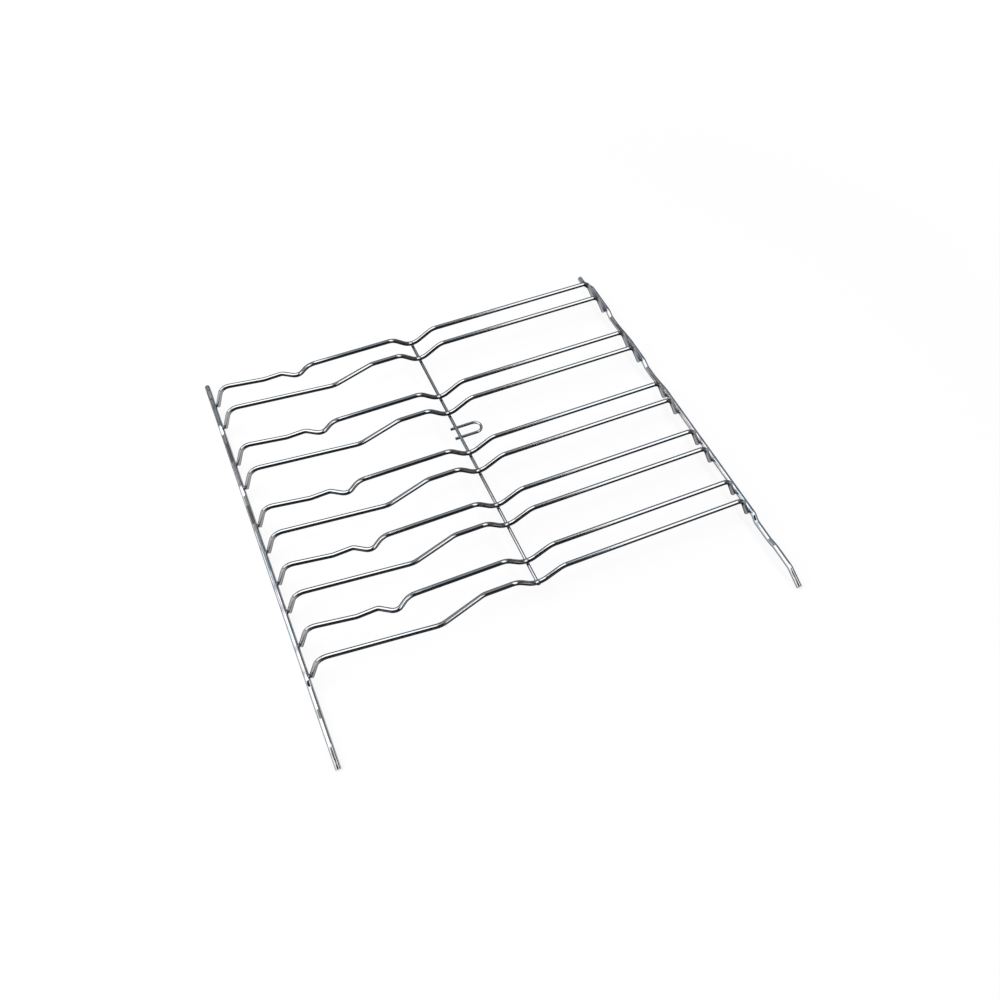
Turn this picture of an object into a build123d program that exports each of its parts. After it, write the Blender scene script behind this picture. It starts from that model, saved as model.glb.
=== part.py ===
from build123d import *
from math import atan, cos, radians, sin, tan
import os

os.makedirs("parts", exist_ok=True)

# Oven side rack of welded steel wire, lying on its back with the tray rails up.
# X runs along the rungs, Y along the uprights, Z away from the oven wall; the origin is
# at the middle of the rack on the surface it lies on. All lengths in millimetres, angles in degrees.

# Wires
upright_diameter = 4.0
rung_diameter = 3.6
rod_diameter = 2.4
loop_diameter = 2.2
weld_set_down = 0.3
end_chamfer = 0.4

# Layout of the uprights and the tray levels, counted from the far end
upright_spacing = 345.0
rail_gap = 19.3
first_pitch = 66.2
second_pitch = 63.6
third_pitch = 54.5
fourth_pitch = 53.8

# Upright: dropped stub at the far end, two joggles, stepped tail at the near end
axis_height = 9.3
upright_bend = 5.0
stub_reach = 34.3
stub_ramp_foot = 26.6
stub_ramp_top = 9.9
joggle_depth = 2.6
joggle_start = 2.0
joggle_floor_start = 9.0
joggle_floor_end = 19.5
joggle_lead = 4.5
tail_step_depth = 3.2
tail_step_start = 4.8
tail_floor_start = 9.2
tail_floor_end = 27.2
tail_rest_drop = 1.8
tail_rest_start = 35.1
tail_rest_end = 53.9
tail_angle = 21.0

# Rungs: legs beside the uprights, a level run, a dip over the centre rod
run_rise = 17.8
leg_tip_drop = 1.2
left_corner_inset = 10.2
right_corner_inset = 11.0
right_bend = 7.0
dip_offset = 2.8
dip_left_run = 15.5
dip_right_run = 19.1
dip_fall = 12.1
dip_top_bend = 12.0
dip_floor_bend = 11.6

# Upper rung: the small notch near its left end; inset from the left upright, then run by run
upper_leg_shift = 3.4
upper_leg_bend = 9.0
knee_inset = 43.8
knee_shift = 1.6
knee_bend = 11.5
bump_run = 15.2
bump_shift = 0.95
bump_bend = 6.0
notch_run = 11.4
notch_depth = 8.7
notch_bend = 6.5
return_run = 10.9
return_bend = 14.0

# Lower rung: the long step in its left half; inset from the left upright, then the step's run
lower_leg_shift = 2.4
lower_leg_bend = 10.0
step_foot_inset = 94.0
step_depth = 10.75
step_foot_bend = 18.5
step_run = 34.9
step_top_bend = 15.0

# Centre rod and wall loop
rod_overhang = 0.6
loop_level_offset = 18.2
loop_half_width = 5.25
loop_left_reach = 3.8
loop_right_reach = 14.5

# Derived positions
upright_radius = upright_diameter / 2
rung_radius = rung_diameter / 2
rod_radius = rod_diameter / 2
loop_radius = loop_diameter / 2
tail_sin = sin(radians(tail_angle))
tail_cos = cos(radians(tail_angle))
tail_end_height = upright_radius * tail_cos - end_chamfer * tail_sin
tail_rest_height = axis_height - tail_rest_drop
tail_run = (tail_rest_height - tail_end_height) / tan(radians(tail_angle))
tail_reach = tail_rest_end + tail_run + (upright_radius - end_chamfer) * tail_sin
levels_span = first_pitch + second_pitch + third_pitch + fourth_pitch + rail_gap
first_line = (tail_reach + levels_span - stub_reach) / 2
left_axis = -upright_spacing / 2
right_axis = upright_spacing / 2
run_height = axis_height + run_rise
knee_x = left_axis + knee_inset
bump_x = knee_x + bump_run
notch_x = bump_x + notch_run
return_x = notch_x + return_run
step_foot_x = left_axis + step_foot_inset
step_top_x = step_foot_x + step_run
dip_x = -dip_offset
dip_left_angle = atan(dip_fall / dip_left_run)
dip_right_angle = atan(dip_fall / dip_right_run)
dip_half_turn = (dip_left_angle + dip_right_angle) / 2
dip_half_skew = (dip_left_angle - dip_right_angle) / 2
dip_depth = dip_fall - dip_floor_bend * (cos(dip_half_skew) / cos(dip_half_turn) - 1)
rod_x = dip_x + dip_floor_bend * sin(dip_half_skew) / cos(dip_half_turn)
rod_height = run_height - dip_depth - rung_radius - rod_radius + weld_set_down
loop_height = rod_height - rod_radius - loop_radius + weld_set_down

upper_lines = [first_line]
for pitch in (first_pitch, second_pitch, third_pitch, fourth_pitch):
    upper_lines.append(upper_lines[-1] - pitch)
lower_lines = [line - rail_gap for line in upper_lines]
last_line = lower_lines[-1]


# Distance of a leg tip from its upright's axis, so that the leg meets the upright at the set-down depth
def leg_tip_inset(corner_inset):
    rise = run_rise + leg_tip_drop
    reach = upright_radius + rung_radius - weld_set_down
    inset = reach
    for _ in range(8):
        slope = (corner_inset - inset) / rise
        inset = reach * (1 + slope**2) ** 0.5 - leg_tip_drop * slope
    return inset


# Round wire swept along straight runs joined by bends
def bend_wire(points, bends, diameter):
    with BuildPart() as wire:
        with BuildLine() as path:
            FilletPolyline(*points, radius=bends)
        with BuildSketch(Plane(origin=path.line @ 0, z_dir=path.line % 0)):
            Circle(diameter / 2)
        sweep(path=path.line)
    return wire.part


def upright_points(x):
    joggle_floor = axis_height - joggle_depth
    tail_floor = axis_height - tail_step_depth
    points = [
        (x, first_line + stub_reach, upright_radius),
        (x, first_line + stub_ramp_foot, upright_radius),
        (x, first_line + stub_ramp_top, axis_height),
    ]
    for level in range(2):
        points.append((x, lower_lines[level] - joggle_start, axis_height))
        points.append((x, lower_lines[level] - joggle_floor_start, joggle_floor))
        points.append((x, lower_lines[level] - joggle_floor_end, joggle_floor))
        points.append((x, upper_lines[level + 1] + joggle_lead, axis_height))
    points.append((x, last_line - tail_step_start, axis_height))
    points.append((x, last_line - tail_floor_start, tail_floor))
    points.append((x, last_line - tail_floor_end, tail_floor))
    points.append((x, last_line - tail_rest_start, tail_rest_height))
    points.append((x, last_line - tail_rest_end, tail_rest_height))
    points.append((x, last_line - tail_rest_end - tail_run, tail_end_height))
    return points


def make_upright(x):
    points = upright_points(x)
    with BuildPart() as upright:
        add(bend_wire(points, [upright_bend] * (len(points) - 2), upright_diameter))
        rims = upright.edges().filter_by(GeomType.CIRCLE).sort_by(Axis.Y)
        chamfer([rims[0], rims[-1]], end_chamfer)
    return upright


# The dip over the centre rod and the right leg, the same on every rung
def rung_right_half(line):
    tip = right_axis - leg_tip_inset(right_corner_inset)
    points = [
        (dip_x - dip_left_run, line, run_height),
        (dip_x, line, run_height - dip_fall),
        (dip_x + dip_right_run, line, run_height),
        (right_axis - right_corner_inset, line, run_height),
        (tip, line, axis_height - leg_tip_drop),
    ]
    return points, [dip_top_bend, dip_floor_bend, dip_top_bend, right_bend]


def left_leg(y):
    return [
        (left_axis + leg_tip_inset(left_corner_inset), y, axis_height - leg_tip_drop),
        (left_axis + left_corner_inset, y, run_height),
    ]


def make_rung(line, left_points, left_bends):
    right_points, right_bends = rung_right_half(line)
    with BuildPart() as rung:
        add(bend_wire(left_points + right_points, left_bends + right_bends, rung_diameter))
        add(left_upright.part, mode=Mode.SUBTRACT)
        add(right_upright.part, mode=Mode.SUBTRACT)
        add(centre_rod.part, mode=Mode.SUBTRACT)
    return rung


def make_upper_rung(line):
    points = left_leg(line + upper_leg_shift) + [
        (knee_x, line - knee_shift, run_height),
        (bump_x, line - bump_shift, run_height),
        (notch_x, line - notch_depth, run_height),
        (return_x, line, run_height),
    ]
    return make_rung(line, points, [upper_leg_bend, knee_bend, bump_bend, notch_bend, return_bend])


def make_lower_rung(line):
    points = left_leg(line - lower_leg_shift) + [
        (step_foot_x, line - step_depth, run_height),
        (step_top_x, line, run_height),
    ]
    return make_rung(line, points, [lower_leg_bend, step_foot_bend, step_top_bend])


# Uprights
left_upright = make_upright(left_axis)
left_upright.part.label = "left_upright"
export_step(left_upright.part, "parts/left_upright.step")

right_upright = make_upright(right_axis)
right_upright.part.label = "right_upright"
export_step(right_upright.part, "parts/right_upright.step")

# Centre rod, straight under all the dips
rod_length = levels_span + 2 * rod_overhang
rod_start = Plane(origin=(rod_x, last_line - rod_overhang, rod_height), x_dir=(1, 0, 0), z_dir=(0, 1, 0))
with BuildPart() as centre_rod:
    with BuildSketch(rod_start):
        Circle(rod_radius)
    extrude(amount=rod_length)
centre_rod.part.label = "centre_rod"
export_step(centre_rod.part, "parts/centre_rod.step")

# Rungs, one upper and one lower rail at each tray level
for level, line in enumerate(upper_lines):
    upper_rung = make_upper_rung(line)
    upper_rung.part.label = f"upper_rung_{level + 1}"
    export_step(upper_rung.part, f"parts/upper_rung_{level + 1}.step")

for level, line in enumerate(lower_lines):
    lower_rung = make_lower_rung(line)
    lower_rung.part.label = f"lower_rung_{level + 1}"
    export_step(lower_rung.part, f"parts/lower_rung_{level + 1}.step")

# Wall loop, a U of thin wire welded under the centre rod between the second and third levels
loop_line = lower_lines[1] - loop_level_offset
with BuildPart() as wall_loop:
    with BuildLine() as loop_path:
        near_leg = Line(
            (rod_x - loop_left_reach, loop_line + loop_half_width, loop_height),
            (rod_x + loop_right_reach, loop_line + loop_half_width, loop_height),
        )
        round_end = TangentArc(
            near_leg @ 1,
            (rod_x + loop_right_reach, loop_line - loop_half_width, loop_height),
            tangent=near_leg % 1,
        )
        Line(round_end @ 1, (rod_x - loop_left_reach, loop_line - loop_half_width, loop_height))
    with BuildSketch(Plane(origin=loop_path.line @ 0, z_dir=loop_path.line % 0)):
        Circle(loop_radius)
    sweep(path=loop_path.line)
    add(centre_rod.part, mode=Mode.SUBTRACT)
wall_loop.part.label = "wall_loop"
export_step(wall_loop.part, "parts/wall_loop.step")
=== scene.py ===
import math

import bpy
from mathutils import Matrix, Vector


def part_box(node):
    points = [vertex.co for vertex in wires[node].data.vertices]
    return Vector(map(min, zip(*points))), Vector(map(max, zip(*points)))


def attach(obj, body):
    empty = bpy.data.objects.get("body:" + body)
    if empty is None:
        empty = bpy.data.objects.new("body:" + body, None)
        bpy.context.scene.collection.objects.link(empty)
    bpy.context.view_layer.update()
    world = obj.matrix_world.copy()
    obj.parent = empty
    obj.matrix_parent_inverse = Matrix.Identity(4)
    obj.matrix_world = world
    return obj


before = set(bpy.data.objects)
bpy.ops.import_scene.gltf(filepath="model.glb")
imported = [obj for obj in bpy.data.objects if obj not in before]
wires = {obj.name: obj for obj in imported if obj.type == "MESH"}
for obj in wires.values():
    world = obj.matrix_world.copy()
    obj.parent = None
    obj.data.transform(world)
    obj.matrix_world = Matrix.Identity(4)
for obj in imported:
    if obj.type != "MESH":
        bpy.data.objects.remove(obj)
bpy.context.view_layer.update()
print("frame loaded:", len(wires), "wires")

mm = 0.001

# Places of a colour Mix node's sockets
mixShare, mixFrom, mixTo, mixResult = 0, 6, 7, 2


# Helpers for node trees
def addNode(tree, kind, **values):
    node = tree.nodes.new(kind)
    for key, value in values.items():
        if key in node.inputs:
            node.inputs[key].default_value = value
        else:
            setattr(node, key, value)
    return node


def addSockets(group, inputs, outputs):
    for name, kind, default in inputs:
        socket = group.interface.new_socket(name=name, in_out="INPUT", socket_type=kind)
        if default is not None:
            socket.default_value = default
    for name, kind in outputs:
        group.interface.new_socket(name=name, in_out="OUTPUT", socket_type=kind)
    return group.nodes.new("NodeGroupInput"), group.nodes.new("NodeGroupOutput")


def placeGroup(tree, group, **values):
    node = tree.nodes.new("ShaderNodeGroup")
    node.node_tree = group
    for key, value in values.items():
        node.inputs[key].default_value = value
    return node


# Both ends of a Map Range node, on its From or its To side
def setEnds(node, side, ends):
    node.inputs[side + " Min"].default_value, node.inputs[side + " Max"].default_value = ends


# Where the wires meet: sizes of the wires, and places read from the CAD boxes
rack = {
    "levels": 5,
    "rungRadius": 1.8 * mm,
    "uprightRadius": 2.0 * mm,
    "loopRadius": 1.1 * mm,
    "uprightAxis": 172.5 * mm,
    "axisHeight": 9.3 * mm,
    "upperLegShift": 3.4 * mm,       # left legs stand a little off their level line
    "lowerLegShift": -2.4 * mm,
    "leftLean": math.radians(20.0),  # legs lean towards the middle
    "rightLean": math.radians(22.1),
    "weldSetDown": 0.3 * mm,
}

rungs = []  # level line of each rung, and place of its left leg along the upright
for level in range(1, rack["levels"] + 1):
    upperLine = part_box(f"upper_rung_{level}")[1].y - rack["rungRadius"] - rack["upperLegShift"]
    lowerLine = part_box(f"lower_rung_{level}")[1].y - rack["rungRadius"]
    rungs.append((upperLine, upperLine + rack["upperLegShift"]))
    rungs.append((lowerLine, lowerLine + rack["lowerLegShift"]))

rodLow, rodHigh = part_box("centre_rod")
loopLow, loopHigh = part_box("wall_loop")
rodX = (rodLow.x + rodHigh.x) / 2
seam = rack["uprightRadius"] - rack["weldSetDown"] / 2  # weld centre, from the upright's axis

legWelds = []
for line, leftY in rungs:
    for side, y, lean in ((-1, leftY, rack["leftLean"]), (1, line, rack["rightLean"])):
        x = side * (rack["uprightAxis"] - seam * math.cos(lean))
        legWelds.append(Vector((x, y, rack["axisHeight"] - seam * math.sin(lean))))
rodWelds = [Vector((rodX, line, rodHigh.z - rack["weldSetDown"] / 2)) for line, leftY in rungs]
loopWelds = [
    Vector((rodX, loopHigh.y - rack["loopRadius"], rodLow.z + rack["weldSetDown"] / 2)),
    Vector((rodX, loopLow.y + rack["loopRadius"], rodLow.z + rack["weldSetDown"] / 2)),
]
print("weld places:", len(legWelds) + len(rodWelds) + len(loopWelds))

# Shader group: fine drawing lines that run along a wire, with soft waves under the plating
lineHeight = 0.12  # height of the lines beside that of the waves
drawnGrain = bpy.data.node_groups.new("drawnGrain", "ShaderNodeTree")
grainIn, grainOut = addSockets(
    drawnGrain,
    [
        ("Vector", "NodeSocketVector", None),
        ("Line Scale", "NodeSocketVector", (1.0, 1.0, 1.0)),
        ("Wave Scale", "NodeSocketVector", (1.0, 1.0, 1.0)),
        ("Roughness Low", "NodeSocketFloat", 0.08),
        ("Roughness High", "NodeSocketFloat", 0.2),
    ],
    [("Roughness", "NodeSocketFloat"), ("Height", "NodeSocketFloat")],
)
grainLink = drawnGrain.links.new
lineMap = addNode(drawnGrain, "ShaderNodeMapping")
lineNoise = addNode(drawnGrain, "ShaderNodeTexNoise", Scale=1.0, Detail=3.0, Roughness=0.6)
waveMap = addNode(drawnGrain, "ShaderNodeMapping")
waveNoise = addNode(drawnGrain, "ShaderNodeTexNoise", Scale=1.0, Detail=1.0, Roughness=0.4)
roughRange = addNode(drawnGrain, "ShaderNodeMapRange")
lineShare = addNode(drawnGrain, "ShaderNodeMath", operation="MULTIPLY")
lineShare.inputs[1].default_value = lineHeight
heightSum = addNode(drawnGrain, "ShaderNodeMath", operation="ADD")
grainLink(grainIn.outputs["Vector"], lineMap.inputs["Vector"])
grainLink(grainIn.outputs["Line Scale"], lineMap.inputs["Scale"])
grainLink(lineMap.outputs["Vector"], lineNoise.inputs["Vector"])
grainLink(grainIn.outputs["Vector"], waveMap.inputs["Vector"])
grainLink(grainIn.outputs["Wave Scale"], waveMap.inputs["Scale"])
grainLink(waveMap.outputs["Vector"], waveNoise.inputs["Vector"])
grainLink(lineNoise.outputs["Fac"], roughRange.inputs["Value"])
grainLink(grainIn.outputs["Roughness Low"], roughRange.inputs["To Min"])
grainLink(grainIn.outputs["Roughness High"], roughRange.inputs["To Max"])
grainLink(lineNoise.outputs["Fac"], lineShare.inputs[0])
grainLink(lineShare.outputs["Value"], heightSum.inputs[0])
grainLink(waveNoise.outputs["Fac"], heightSum.inputs[1])
grainLink(roughRange.outputs["Result"], grainOut.inputs["Roughness"])
grainLink(heightSum.outputs["Value"], grainOut.inputs["Height"])

# Shader group: bright plating that drifts between a neutral, a cool and a warm tone
toneDrift = {
    "warmShift": (3.1, 1.7, 5.3),  # keeps the warm patches apart from the cool ones
    "coolRange": (0.45, 0.72),     # noise levels where a patch begins and is full
    "warmRange": (0.5, 0.8),
}
platingTone = bpy.data.node_groups.new("platingTone", "ShaderNodeTree")
toneIn, toneOut = addSockets(
    platingTone,
    [
        ("Vector", "NodeSocketVector", None),
        ("Neutral", "NodeSocketColor", (0.5, 0.5, 0.5, 1.0)),
        ("Cool", "NodeSocketColor", (0.45, 0.5, 0.55, 1.0)),
        ("Warm", "NodeSocketColor", (0.5, 0.48, 0.5, 1.0)),
        ("Patch Scale", "NodeSocketFloat", 40.0),
    ],
    [("Color", "NodeSocketColor")],
)
toneLink = platingTone.links.new
coolNoise = addNode(platingTone, "ShaderNodeTexNoise", Detail=2.0, Roughness=0.5)
warmShift = addNode(platingTone, "ShaderNodeVectorMath", operation="ADD")
warmShift.inputs[1].default_value = toneDrift["warmShift"]
warmNoise = addNode(platingTone, "ShaderNodeTexNoise", Detail=3.0, Roughness=0.5)
coolRange = addNode(platingTone, "ShaderNodeMapRange")
setEnds(coolRange, "From", toneDrift["coolRange"])
warmRange = addNode(platingTone, "ShaderNodeMapRange")
setEnds(warmRange, "From", toneDrift["warmRange"])
coolMix = addNode(platingTone, "ShaderNodeMix", data_type="RGBA")
warmMix = addNode(platingTone, "ShaderNodeMix", data_type="RGBA")
toneLink(toneIn.outputs["Vector"], coolNoise.inputs["Vector"])
toneLink(toneIn.outputs["Patch Scale"], coolNoise.inputs["Scale"])
toneLink(toneIn.outputs["Vector"], warmShift.inputs[0])
toneLink(warmShift.outputs["Vector"], warmNoise.inputs["Vector"])
toneLink(toneIn.outputs["Patch Scale"], warmNoise.inputs["Scale"])
toneLink(coolNoise.outputs["Fac"], coolRange.inputs["Value"])
toneLink(warmNoise.outputs["Fac"], warmRange.inputs["Value"])
toneLink(coolRange.outputs["Result"], coolMix.inputs[mixShare])
toneLink(toneIn.outputs["Neutral"], coolMix.inputs[mixFrom])
toneLink(toneIn.outputs["Cool"], coolMix.inputs[mixTo])
toneLink(warmRange.outputs["Result"], warmMix.inputs[mixShare])
toneLink(coolMix.outputs[mixResult], warmMix.inputs[mixFrom])
toneLink(toneIn.outputs["Warm"], warmMix.inputs[mixTo])
toneLink(warmMix.outputs[mixResult], toneOut.inputs["Color"])

# Shader group: a halo round a weld; Axes drops the directions that don't count
weldHalo = bpy.data.node_groups.new("weldHalo", "ShaderNodeTree")
haloIn, haloOut = addSockets(
    weldHalo,
    [
        ("Vector", "NodeSocketVector", None),
        ("Place", "NodeSocketVector", (0.0, 0.0, 0.0)),
        ("Axes", "NodeSocketVector", (1.0, 1.0, 1.0)),
        ("Reach", "NodeSocketFloat", 0.006),
    ],
    [("Mask", "NodeSocketFloat")],
)
haloLink = weldHalo.links.new
haloOffset = addNode(weldHalo, "ShaderNodeVectorMath", operation="SUBTRACT")
haloAxes = addNode(weldHalo, "ShaderNodeVectorMath", operation="MULTIPLY")
haloLength = addNode(weldHalo, "ShaderNodeVectorMath", operation="LENGTH")
haloFade = addNode(weldHalo, "ShaderNodeMapRange", interpolation_type="SMOOTHSTEP")
setEnds(haloFade, "To", (1.0, 0.0))
haloLink(haloIn.outputs["Vector"], haloOffset.inputs[0])
haloLink(haloIn.outputs["Place"], haloOffset.inputs[1])
haloLink(haloOffset.outputs["Vector"], haloAxes.inputs[0])
haloLink(haloIn.outputs["Axes"], haloAxes.inputs[1])
haloLink(haloAxes.outputs["Vector"], haloLength.inputs[0])
haloLink(haloLength.outputs["Value"], haloFade.inputs["Value"])
haloLink(haloIn.outputs["Reach"], haloFade.inputs["From Max"])
haloLink(haloFade.outputs["Result"], haloOut.inputs["Mask"])

# Shader group: painted shade, a dark colour on one side of a wire that stands in for dark reflections, full
# along its middle and thin beyond
thinShade = 0.2  # share of the painted shade that is left beyond the full length
paintedShadeSide = bpy.data.node_groups.new("paintedShadeSide", "ShaderNodeTree")
shadeIn, shadeOut = addSockets(
    paintedShadeSide,
    [
        ("Normal", "NodeSocketVector", None),
        ("Side", "NodeSocketVector", (0.0, 0.0, -1.0)),
        ("Vector", "NodeSocketVector", None),
        ("Half Length", "NodeSocketFloat", 1.0),
        ("Fade Length", "NodeSocketFloat", 0.01),
        ("Color", "NodeSocketColor", (0.5, 0.5, 0.5, 1.0)),
        ("Painted Shade", "NodeSocketColor", (0.1, 0.1, 0.1, 1.0)),
        ("Start", "NodeSocketFloat", 0.0),
        ("Full", "NodeSocketFloat", 0.5),
    ],
    [("Color", "NodeSocketColor")],
)
shadeLink = paintedShadeSide.links.new
shadeTurn = addNode(paintedShadeSide, "ShaderNodeVectorMath", operation="DOT_PRODUCT")
shadeFade = addNode(paintedShadeSide, "ShaderNodeMapRange", interpolation_type="SMOOTHSTEP")
shadePlace = addNode(paintedShadeSide, "ShaderNodeSeparateXYZ")
shadeSide = addNode(paintedShadeSide, "ShaderNodeMath", operation="ABSOLUTE")
shadeEnd = addNode(paintedShadeSide, "ShaderNodeMath", operation="ADD")
shadeAlong = addNode(paintedShadeSide, "ShaderNodeMapRange", interpolation_type="SMOOTHSTEP")
setEnds(shadeAlong, "To", (1.0, thinShade))
shadeShare = addNode(paintedShadeSide, "ShaderNodeMath", operation="MULTIPLY")
shadeMix = addNode(paintedShadeSide, "ShaderNodeMix", data_type="RGBA")
shadeLink(shadeIn.outputs["Normal"], shadeTurn.inputs[0])
shadeLink(shadeIn.outputs["Side"], shadeTurn.inputs[1])
shadeLink(shadeTurn.outputs["Value"], shadeFade.inputs["Value"])
shadeLink(shadeIn.outputs["Start"], shadeFade.inputs["From Min"])
shadeLink(shadeIn.outputs["Full"], shadeFade.inputs["From Max"])
shadeLink(shadeIn.outputs["Vector"], shadePlace.inputs["Vector"])
shadeLink(shadePlace.outputs["X"], shadeSide.inputs[0])
shadeLink(shadeIn.outputs["Half Length"], shadeEnd.inputs[0])
shadeLink(shadeIn.outputs["Fade Length"], shadeEnd.inputs[1])
shadeLink(shadeSide.outputs["Value"], shadeAlong.inputs["Value"])
shadeLink(shadeIn.outputs["Half Length"], shadeAlong.inputs["From Min"])
shadeLink(shadeEnd.outputs["Value"], shadeAlong.inputs["From Max"])
shadeLink(shadeFade.outputs["Result"], shadeShare.inputs[0])
shadeLink(shadeAlong.outputs["Result"], shadeShare.inputs[1])
shadeLink(shadeShare.outputs["Value"], shadeMix.inputs[mixShare])
shadeLink(shadeIn.outputs["Color"], shadeMix.inputs[mixFrom])
shadeLink(shadeIn.outputs["Painted Shade"], shadeMix.inputs[mixTo])
shadeLink(shadeMix.outputs[mixResult], shadeOut.inputs["Color"])
print("shader groups ready")


# Plated wire: grain along the wire, drifting tone, a dull tinted halo at each weld, and painted shade on
# the lower side of the wire that stands in for dark reflections
def makePlating(finish):
    material = bpy.data.materials.new(finish["name"])
    material.use_nodes = True
    tree = material.node_tree
    tree.nodes.clear()
    link = tree.links.new
    shader = addNode(tree, "ShaderNodeBsdfPrincipled", Metallic=1.0)
    shader.inputs["Specular Tint"].default_value = finish["rimTint"]
    output = addNode(tree, "ShaderNodeOutputMaterial")
    coords = addNode(tree, "ShaderNodeTexCoord")
    grain = placeGroup(tree, drawnGrain, **{
        "Line Scale": finish["lineScale"], "Wave Scale": finish["waveScale"],
        "Roughness Low": finish["roughness"][0], "Roughness High": finish["roughness"][1]})
    tone = placeGroup(tree, platingTone, **{
        "Neutral": finish["neutral"], "Cool": finish["cool"], "Warm": finish["warm"],
        "Patch Scale": finish["patchScale"]})
    # painted shade: darkens the base colour on the lower side of the wire, standing in for dark reflections
    # there
    paintedShade = placeGroup(tree, paintedShadeSide, **{
        "Painted Shade": finish["shadeColour"], "Side": finish["shadeSide"],
        "Start": finish["shadeRange"][0], "Full": finish["shadeRange"][1],
        "Half Length": finish["shadeHalf"], "Fade Length": finish["shadeFade"]})
    bump = addNode(tree, "ShaderNodeBump", Strength=finish["bumpStrength"], Distance=finish["bumpDistance"])
    heat = None
    for place in finish["welds"]:
        halo = placeGroup(tree, weldHalo, Place=place, Axes=finish["weldAxes"], Reach=finish["weldReach"])
        link(coords.outputs["Object"], halo.inputs["Vector"])
        if heat is None:
            heat = halo.outputs["Mask"]
        else:
            most = addNode(tree, "ShaderNodeMath", operation="MAXIMUM")
            link(heat, most.inputs[0])
            link(halo.outputs["Mask"], most.inputs[1])
            heat = most.outputs["Value"]
    share = addNode(tree, "ShaderNodeMath", operation="MULTIPLY")
    share.inputs[1].default_value = finish["weldTint"]
    tint = addNode(tree, "ShaderNodeMix", data_type="RGBA")
    tint.inputs[mixTo].default_value = finish["weldColour"]
    dull = addNode(tree, "ShaderNodeMath", operation="MULTIPLY_ADD")
    dull.inputs[1].default_value = finish["weldDull"]
    link(coords.outputs["Object"], grain.inputs["Vector"])
    link(coords.outputs["Object"], tone.inputs["Vector"])
    link(heat, share.inputs[0])
    link(share.outputs["Value"], tint.inputs[mixShare])
    link(tone.outputs["Color"], tint.inputs[mixFrom])
    link(heat, dull.inputs[0])
    link(grain.outputs["Roughness"], dull.inputs[2])
    link(tint.outputs[mixResult], paintedShade.inputs["Color"])
    link(coords.outputs["Normal"], paintedShade.inputs["Normal"])
    link(coords.outputs["Object"], paintedShade.inputs["Vector"])
    link(paintedShade.outputs["Color"], shader.inputs["Base Color"])
    link(dull.outputs["Value"], shader.inputs["Roughness"])
    link(grain.outputs["Height"], bump.inputs["Height"])
    link(bump.outputs["Normal"], shader.inputs["Normal"])
    link(shader.outputs["BSDF"], output.inputs["Surface"])
    return material


plating = {
    "neutral": (0.44, 0.445, 0.45, 1.0),
    "cool": (0.40, 0.44, 0.465, 1.0),
    "warm": (0.44, 0.415, 0.45, 1.0),
    "patchScale": 34.0,
    "rimTint": (0.1, 0.1, 0.11, 1.0),
    # painted shade: dark colour, facing and ranges for the lower front side of the rungs and loop, standing
    # in for dark reflections
    "shadeColour": (0.03, 0.03, 0.033, 1.0),
    "shadeSide": (0.0, -0.8, -0.6),
    "shadeRange": (0.2, 0.5),
    "shadeHalf": 160.0 * mm,  # from the middle to where the painted shade thins out, at the legs
    "shadeFade": 4.0 * mm,
    "roughness": (0.05, 0.13),
    "bumpStrength": 0.25,
    "bumpDistance": 0.15 * mm,
    "weldColour": (0.30, 0.29, 0.33, 1.0),
    "weldTint": 0.75,
    "weldDull": 0.16,
    "weldReach": 5.0 * mm,
}

rungFinish = dict(
    plating, name="rungPlating", lineScale=(60.0, 2600.0, 2600.0), waveScale=(70.0, 160.0, 160.0),
    welds=[
        (-rack["uprightAxis"], 0.0, rack["axisHeight"]),
        (rack["uprightAxis"], 0.0, rack["axisHeight"]),
        (rodX, 0.0, rodHigh.z),
    ],
    weldAxes=(1.0, 0.0, 1.0))
uprightFinish = dict(
    plating, name="uprightPlating", lineScale=(2600.0, 60.0, 2600.0), waveScale=(220.0, 80.0, 220.0),
    # painted shade on the uprights: a dark grey over their sides and undersides, standing in for dark
    # reflections
    shadeHalf=1.0, shadeColour=(0.12, 0.12, 0.14, 1.0), shadeSide=(0.0, 0.0, -1.0), shadeRange=(-0.45, 0.1),
    neutral=(0.53, 0.535, 0.54, 1.0), cool=(0.41, 0.49, 0.55, 1.0), warm=(0.52, 0.49, 0.53, 1.0),
    bumpStrength=0.8,
    welds=[(0.0, line, 0.0) for line, leftY in rungs], weldAxes=(0.0, 1.0, 0.0))
rodFinish = dict(
    plating, name="rodPlating", lineScale=(3200.0, 60.0, 3200.0), waveScale=(200.0, 70.0, 200.0),
    # painted shade on the rod: near-black over all but its top, standing in for dark reflections
    shadeColour=(0.03, 0.03, 0.035, 1.0), shadeSide=(0.0, 0.0, -1.0), shadeRange=(-0.9, -0.35),
    welds=[(0.0, line, 0.0) for line, leftY in rungs], weldAxes=(0.0, 1.0, 0.0), weldReach=4.0 * mm)
loopFinish = dict(
    plating, name="loopPlating", lineScale=(70.0, 3200.0, 3200.0), waveScale=(120.0, 200.0, 200.0),
    welds=[(rodX, 0.0, rodLow.z)], weldAxes=(1.0, 0.0, 0.0), weldReach=4.0 * mm)

rungMaterial = makePlating(rungFinish)
uprightMaterial = makePlating(uprightFinish)
rodMaterial = makePlating(rodFinish)
loopMaterial = makePlating(loopFinish)

for name, wire in wires.items():
    if "upright" in name:
        finishMaterial = uprightMaterial
    elif "rung" in name:
        finishMaterial = rungMaterial
    elif name == "centre_rod":
        finishMaterial = rodMaterial
    else:
        finishMaterial = loopMaterial
    wire.data.materials.clear()
    wire.data.materials.append(finishMaterial)
print("wires plated")

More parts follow.
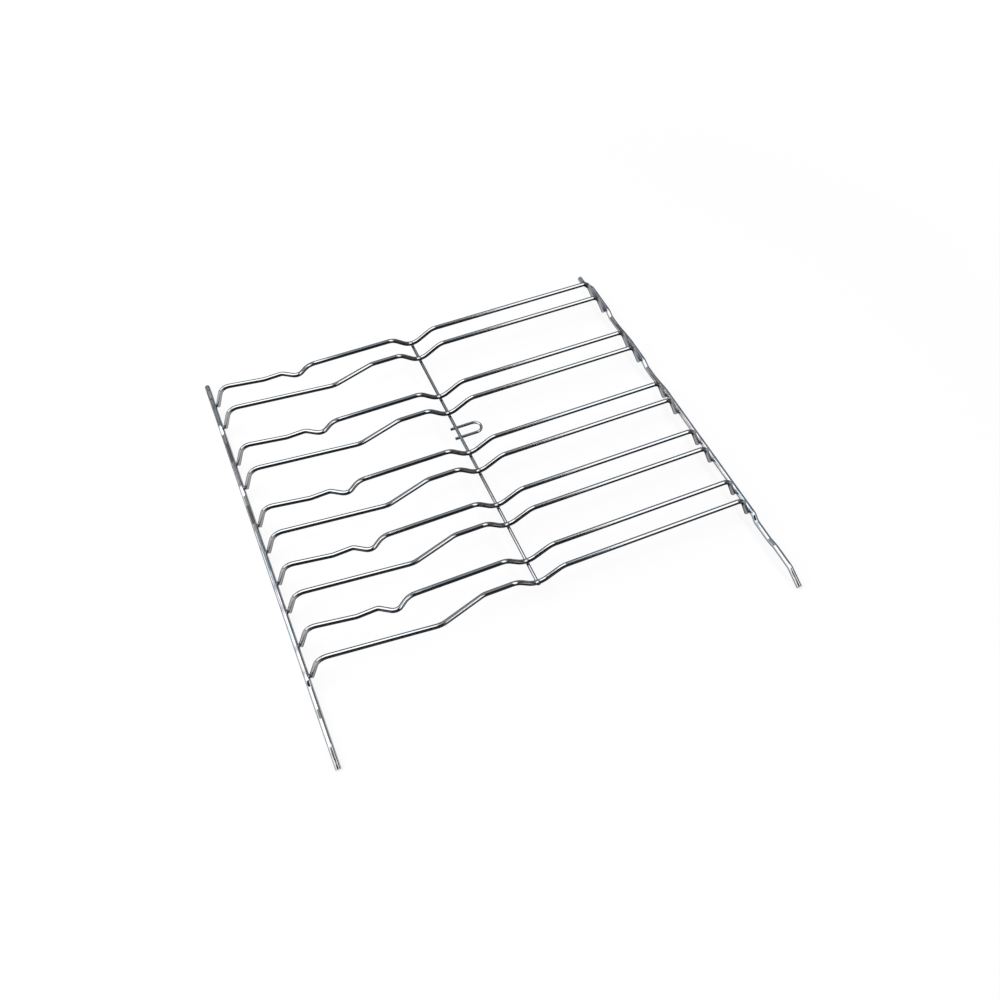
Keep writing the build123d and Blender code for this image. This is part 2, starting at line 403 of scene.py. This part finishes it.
# Squeezed-out metal round each weld: a lumpy little collar on every crossing
weldFinish = {
    "name": "weldCollarMetal",
    "bright": (0.46, 0.46, 0.48, 1.0),
    "dark": (0.26, 0.25, 0.28, 1.0),
    "spotScale": 900.0,
    "roughness": (0.16, 0.38),
    "bumpStrength": 0.4,
    "bumpDistance": 0.1 * mm,
}
weldMaterial = bpy.data.materials.new(weldFinish["name"])
weldMaterial.use_nodes = True
weldTree = weldMaterial.node_tree
weldTree.nodes.clear()
weldLink = weldTree.links.new
weldShader = addNode(weldTree, "ShaderNodeBsdfPrincipled", Metallic=1.0)
weldOutput = addNode(weldTree, "ShaderNodeOutputMaterial")
weldCoords = addNode(weldTree, "ShaderNodeTexCoord")
weldNoise = addNode(weldTree, "ShaderNodeTexNoise", Scale=weldFinish["spotScale"], Detail=3.0)
weldMix = addNode(weldTree, "ShaderNodeMix", data_type="RGBA")
weldMix.inputs[mixFrom].default_value = weldFinish["bright"]
weldMix.inputs[mixTo].default_value = weldFinish["dark"]
weldRange = addNode(weldTree, "ShaderNodeMapRange")
setEnds(weldRange, "To", weldFinish["roughness"])
weldBump = addNode(
    weldTree, "ShaderNodeBump", Strength=weldFinish["bumpStrength"], Distance=weldFinish["bumpDistance"])
weldLink(weldCoords.outputs["Object"], weldNoise.inputs["Vector"])
weldLink(weldNoise.outputs["Fac"], weldMix.inputs[mixShare])
weldLink(weldNoise.outputs["Fac"], weldRange.inputs["Value"])
weldLink(weldNoise.outputs["Fac"], weldBump.inputs["Height"])
weldLink(weldMix.outputs[mixResult], weldShader.inputs["Base Color"])
weldLink(weldRange.outputs["Result"], weldShader.inputs["Roughness"])
weldLink(weldBump.outputs["Normal"], weldShader.inputs["Normal"])
weldLink(weldShader.outputs["BSDF"], weldOutput.inputs["Surface"])

# Geometry group: a lumpy ball set on each point, drawn out to the collar's size
ballSubdivisions = 3
noiseMiddle = (0.5, 0.5, 0.5)
weldCollar = bpy.data.node_groups.new("weldCollar", "GeometryNodeTree")
collarIn, collarOut = addSockets(
    weldCollar,
    [
        ("Geometry", "NodeSocketGeometry", None),
        ("Collar Size", "NodeSocketVector", (1.0, 1.0, 1.0)),
        ("Lump Height", "NodeSocketFloat", 0.0001),
        ("Lump Scale", "NodeSocketFloat", 700.0),
        ("Material", "NodeSocketMaterial", None),
    ],
    [("Geometry", "NodeSocketGeometry")],
)
collarLink = weldCollar.links.new
collarBall = addNode(weldCollar, "GeometryNodeMeshIcoSphere", Radius=1.0, Subdivisions=ballSubdivisions)
collarPlaces = addNode(weldCollar, "GeometryNodeInstanceOnPoints")
collarReal = addNode(weldCollar, "GeometryNodeRealizeInstances")
collarPosition = addNode(weldCollar, "GeometryNodeInputPosition")
collarNoise = addNode(weldCollar, "ShaderNodeTexNoise", Detail=1.0)
collarCentre = addNode(weldCollar, "ShaderNodeVectorMath", operation="SUBTRACT")
collarCentre.inputs[1].default_value = noiseMiddle
collarLump = addNode(weldCollar, "ShaderNodeVectorMath", operation="SCALE")
collarMove = addNode(weldCollar, "GeometryNodeSetPosition")
collarSmooth = addNode(weldCollar, "GeometryNodeSetShadeSmooth")
collarPaint = addNode(weldCollar, "GeometryNodeSetMaterial")
collarLink(collarIn.outputs["Geometry"], collarPlaces.inputs["Points"])
collarLink(collarBall.outputs["Mesh"], collarPlaces.inputs["Instance"])
collarLink(collarIn.outputs["Collar Size"], collarPlaces.inputs["Scale"])
collarLink(collarPlaces.outputs["Instances"], collarReal.inputs["Geometry"])
collarLink(collarReal.outputs["Geometry"], collarMove.inputs["Geometry"])
collarLink(collarPosition.outputs["Position"], collarNoise.inputs["Vector"])
collarLink(collarIn.outputs["Lump Scale"], collarNoise.inputs["Scale"])
collarLink(collarNoise.outputs["Color"], collarCentre.inputs[0])
collarLink(collarCentre.outputs["Vector"], collarLump.inputs[0])
collarLink(collarIn.outputs["Lump Height"], collarLump.inputs["Scale"])
collarLink(collarLump.outputs["Vector"], collarMove.inputs["Offset"])
collarLink(collarMove.outputs["Geometry"], collarSmooth.inputs["Geometry"])
collarLink(collarSmooth.outputs["Geometry"], collarPaint.inputs["Geometry"])
collarLink(collarIn.outputs["Material"], collarPaint.inputs["Material"])
collarLink(collarPaint.outputs["Geometry"], collarOut.inputs["Geometry"])
collarInputs = {
    item.name: item.identifier
    for item in weldCollar.interface.items_tree
    if item.in_out == "INPUT"
}


def makeCollars(collar):
    points = bpy.data.meshes.new(collar["name"] + "Points")
    points.from_pydata([tuple(place) for place in collar["places"]], [], [])
    holder = bpy.data.objects.new(collar["name"] + "Points", points)
    bpy.context.scene.collection.objects.link(holder)
    modifier = holder.modifiers.new("weldCollar", "NODES")
    modifier.node_group = weldCollar
    modifier[collarInputs["Collar Size"]] = collar["size"]
    modifier[collarInputs["Lump Height"]] = collar["lumpHeight"]
    modifier[collarInputs["Lump Scale"]] = collar["lumpScale"]
    modifier[collarInputs["Material"]] = weldMaterial
    bpy.context.view_layer.update()
    shown = holder.evaluated_get(bpy.context.evaluated_depsgraph_get())
    mesh = bpy.data.meshes.new_from_object(shown)
    mesh.name = collar["name"]
    piece = bpy.data.objects.new(collar["name"], mesh)
    bpy.context.scene.collection.objects.link(piece)
    bpy.data.objects.remove(holder)
    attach(piece, "root")
    print(collar["name"], len(mesh.polygons), "faces")


legCollar = {
    "name": "legWeldCollars", "places": legWelds,
    "size": (0.7 * mm, 1.75 * mm, 1.75 * mm), "lumpHeight": 0.45 * mm, "lumpScale": 600.0,
}
rodCollar = {
    "name": "rodWeldCollars", "places": rodWelds,
    "size": (1.65 * mm, 1.9 * mm, 0.6 * mm), "lumpHeight": 0.4 * mm, "lumpScale": 650.0,
}
loopCollar = {
    "name": "loopWeldCollars", "places": loopWelds,
    "size": (1.4 * mm, 1.3 * mm, 0.5 * mm), "lumpHeight": 0.3 * mm, "lumpScale": 700.0,
}
for collar in (legCollar, rodCollar, loopCollar):
    makeCollars(collar)
print("weld collars made")

# Pale floor and white surroundings
studio = {
    "floorHalf": 4.0,
    "floorDrop": 0.1 * mm,
    "floorColour": (0.22, 0.22, 0.22, 1.0),
    "floorMottle": (0.21, 0.21, 0.21, 1.0),
    "mottleScale": 3.0,
    "floorLift": (0.81, 1.0),  # glow under the rack and far from it
    "floorReach": (0.4, 1.3),  # distances between which the glow rises
    "ambient": (1.0, 1.0, 1.0, 1.0),
    "ambientStrength": 0.2,
    "white": (1.0, 1.0, 1.0, 1.0),
}


# 1 where the camera, a reflection or a see-through ray looks, so that they meet white
def seenWhite(tree):
    path = addNode(tree, "ShaderNodeLightPath")
    first = addNode(tree, "ShaderNodeMath", operation="MAXIMUM")
    second = addNode(tree, "ShaderNodeMath", operation="MAXIMUM")
    tree.links.new(path.outputs["Is Camera Ray"], first.inputs[0])
    tree.links.new(path.outputs["Is Glossy Ray"], first.inputs[1])
    tree.links.new(first.outputs["Value"], second.inputs[0])
    tree.links.new(path.outputs["Is Transmission Ray"], second.inputs[1])
    return second.outputs["Value"]


half = studio["floorHalf"]
floorMesh = bpy.data.meshes.new("paleFloor")
floorMesh.from_pydata(
    [(x, y, -studio["floorDrop"]) for x, y in ((-half, -half), (half, -half), (half, half), (-half, half))],
    [], [(0, 1, 2, 3)])
floor = bpy.data.objects.new("paleFloor", floorMesh)
bpy.context.scene.collection.objects.link(floor)
floorMaterial = bpy.data.materials.new("paleFloorPaper")
floorMaterial.use_nodes = True
floorTree = floorMaterial.node_tree
floorTree.nodes.clear()
floorLink = floorTree.links.new
floorCoords = addNode(floorTree, "ShaderNodeTexCoord")
floorNoise = addNode(floorTree, "ShaderNodeTexNoise", Scale=studio["mottleScale"], Detail=2.0)
floorMix = addNode(floorTree, "ShaderNodeMix", data_type="RGBA")
floorMix.inputs[mixFrom].default_value = studio["floorColour"]
floorMix.inputs[mixTo].default_value = studio["floorMottle"]
floorDiffuse = addNode(floorTree, "ShaderNodeBsdfDiffuse")
floorGlow = addNode(floorTree, "ShaderNodeEmission")
floorLift = addNode(floorTree, "ShaderNodeMath", operation="MULTIPLY")
floorFar = addNode(floorTree, "ShaderNodeVectorMath", operation="LENGTH")
floorRise = addNode(floorTree, "ShaderNodeMapRange", interpolation_type="SMOOTHSTEP")
setEnds(floorRise, "From", studio["floorReach"])
setEnds(floorRise, "To", studio["floorLift"])
floorSum = addNode(floorTree, "ShaderNodeAddShader")
floorOutput = addNode(floorTree, "ShaderNodeOutputMaterial")
floorLink(floorCoords.outputs["Object"], floorNoise.inputs["Vector"])
floorLink(floorNoise.outputs["Fac"], floorMix.inputs[mixShare])
floorLink(floorMix.outputs[mixResult], floorDiffuse.inputs["Color"])
floorLink(floorCoords.outputs["Object"], floorFar.inputs[0])
floorLink(floorFar.outputs["Value"], floorRise.inputs["Value"])
floorLink(floorRise.outputs["Result"], floorLift.inputs[1])
floorLink(seenWhite(floorTree), floorLift.inputs[0])
floorLink(floorLift.outputs["Value"], floorGlow.inputs["Strength"])
floorLink(floorDiffuse.outputs["BSDF"], floorSum.inputs[0])
floorLink(floorGlow.outputs["Emission"], floorSum.inputs[1])
floorLink(floorSum.outputs["Shader"], floorOutput.inputs["Surface"])
floorMesh.materials.append(floorMaterial)

world = bpy.data.worlds.new("whiteStudio")
bpy.context.scene.world = world
world.use_nodes = True
worldTree = world.node_tree
worldTree.nodes.clear()
worldLink = worldTree.links.new
worldDim = addNode(
    worldTree, "ShaderNodeBackground", Color=studio["ambient"], Strength=studio["ambientStrength"])
worldWhite = addNode(worldTree, "ShaderNodeBackground", Color=studio["white"], Strength=1.0)
worldMix = addNode(worldTree, "ShaderNodeMixShader")
worldOutput = addNode(worldTree, "ShaderNodeOutputWorld")
worldLink(seenWhite(worldTree), worldMix.inputs[0])
worldLink(worldDim.outputs["Background"], worldMix.inputs[1])
worldLink(worldWhite.outputs["Background"], worldMix.inputs[2])
worldLink(worldMix.outputs["Shader"], worldOutput.inputs["Surface"])
print("floor and surroundings ready")

# Soft boxes, each with the brightness of its face as its level
softBoxes = [
    {"name": "overheadSoftBox", "place": (-0.61, 0.15, 1.3), "facing": (0.0, 0.0, -1.0),
     "size": (1.38, 1.4), "level": 2.3},
    {"name": "rightSoftBox", "place": (0.775, -0.45, 1.3), "facing": (0.0, 0.9, -1.7),
     "size": (0.55, 1.92), "level": 2.3},
    {"name": "leftSoftBox", "place": (-1.5, 0.4, 0.8), "facing": (1.0, 0.0, 0.0),
     "size": (1.8, 1.2), "level": 2.0},
]
for box in softBoxes:
    lamp = bpy.data.lights.new(box["name"], "AREA")
    lamp.shape = "RECTANGLE"
    lamp.size, lamp.size_y = box["size"]
    lamp.energy = box["level"] * math.pi * box["size"][0] * box["size"][1]
    lampObject = bpy.data.objects.new(box["name"], lamp)
    bpy.context.scene.collection.objects.link(lampObject)
    lampObject.location = box["place"]
    lampObject.rotation_mode = "QUATERNION"
    lampObject.rotation_quaternion = Vector(box["facing"]).to_track_quat("-Z", "Y")


def makeCardPaper(name, colour):
    paper = bpy.data.materials.new(name)
    paper.use_nodes = True
    tree = paper.node_tree
    tree.nodes.clear()
    glow = addNode(tree, "ShaderNodeEmission", Color=(*colour, 1.0), Strength=1.0)
    output = addNode(tree, "ShaderNodeOutputMaterial")
    tree.links.new(glow.outputs["Emission"], output.inputs["Surface"])
    return paper


# Cards that only reflections see: a ceiling, and darker walls that give bright metal its edges
cards = [
    {"name": "ceilingCard", "place": (0.0, 0.85, 1.9), "facing": (0.0, 0.0, -1.0),
     "size": (4.4, 2.9), "colour": (0.45, 0.50, 0.54)},
    {"name": "frontCeilingCard", "place": (0.0, -1.4, 1.9), "facing": (0.0, 0.0, -1.0),
     "size": (4.4, 1.6), "colour": (0.05, 0.06, 0.07)},
    {"name": "frontCard", "place": (0.0, -2.2, 0.95), "facing": (0.0, 1.0, 0.0),
     "size": (4.4, 1.9), "colour": (0.01, 0.01, 0.01)},
    {"name": "backCard", "place": (0.0, 2.3, 0.95), "facing": (0.0, -1.0, 0.0),
     "size": (4.4, 1.9), "colour": (0.2, 0.2, 0.2)},
    {"name": "leftCard", "place": (-2.2, 0.0, 0.95), "facing": (1.0, 0.0, 0.0),
     "size": (4.4, 1.9), "colour": (0.06, 0.06, 0.06)},
    {"name": "rightCard", "place": (2.2, 0.0, 0.95), "facing": (-1.0, 0.0, 0.0),
     "size": (4.4, 1.9), "colour": (0.15, 0.15, 0.15)},
]
for card in cards:
    middle = Vector(card["place"])
    turn = Vector(card["facing"]).to_track_quat("-Z", "Y")
    width, height = card["size"]
    corners = [
        Vector((x * width / 2, y * height / 2, 0.0))
        for x, y in ((-1, -1), (1, -1), (1, 1), (-1, 1))
    ]
    cardMesh = bpy.data.meshes.new(card["name"])
    cardMesh.from_pydata([tuple(turn @ corner + middle) for corner in corners], [], [(0, 1, 2, 3)])
    cardMesh.materials.append(makeCardPaper(card["name"] + "Paper", card["colour"]))
    cardObject = bpy.data.objects.new(card["name"], cardMesh)
    bpy.context.scene.collection.objects.link(cardObject)
    cardObject.visible_camera = False
    cardObject.visible_diffuse = False
    cardObject.visible_shadow = False
print("studio light ready")


# Offset from its target and turn of a camera that looks at it
def aim(azimuth, elevation, distance):
    a, e = math.radians(azimuth), math.radians(elevation)
    back = Vector((math.sin(a) * math.cos(e), -math.cos(a) * math.cos(e), math.sin(e)))
    return back * distance, (-back).to_track_quat("-Z", "Y")


# Camera at the photograph's place, for a square picture
view = {
    "azimuth": -23.15,
    "elevation": 53.24,
    "distance": 750.2 * mm,
    "target": Vector((3.6 * mm, -29.0 * mm, 9.3 * mm)),
    "lens": 35.81,
    "sensor": 36.0,
    "clipStart": 10.0 * mm,
}
cameraData = bpy.data.cameras.new("photoCamera")
cameraData.lens = view["lens"]
cameraData.sensor_width = view["sensor"]
cameraData.clip_start = view["clipStart"]
camera = bpy.data.objects.new("photoCamera", cameraData)
bpy.context.scene.collection.objects.link(camera)
offset, turn = aim(view["azimuth"], view["elevation"], view["distance"])
camera.location = view["target"] + offset
camera.rotation_mode = "QUATERNION"
camera.rotation_quaternion = turn
bpy.context.scene.camera = camera
bpy.context.scene.view_settings.view_transform = "Standard"
print("camera set")
